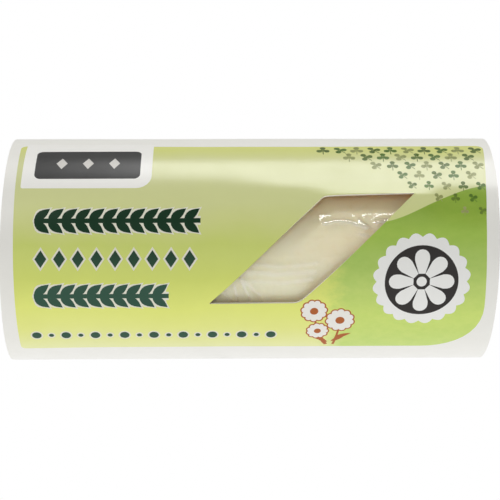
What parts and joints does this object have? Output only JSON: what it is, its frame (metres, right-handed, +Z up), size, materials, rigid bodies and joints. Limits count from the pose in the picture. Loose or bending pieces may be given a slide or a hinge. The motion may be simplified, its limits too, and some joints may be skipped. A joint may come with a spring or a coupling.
{
  "type": "goat cheese log",
  "caption": "Film-wrapped log of soft fresh cheese in a round printed card sleeve, open at both ends, with a slanted window cut in its front.",
  "frame": {"origin": "middle of the pack's length and depth, on the surface it rests on", "axes": "+X along the log, to the right as the printed front is read; the printed front with its window faces -Y; +Z up"},
  "size_m": [0.0934, 0.044, 0.0438],
  "materials": {
    "printed_card": "smooth coated white card, printed yellow-green, with a soft sheen",
    "filmed_cheese": "ivory fresh cheese under glossy clear film"
  },
  "bodies": {
    "root": {"card_sleeve": "printed_card", "wrapped_cheese_log": "filmed_cheese"}
  },
  "joints": []
}
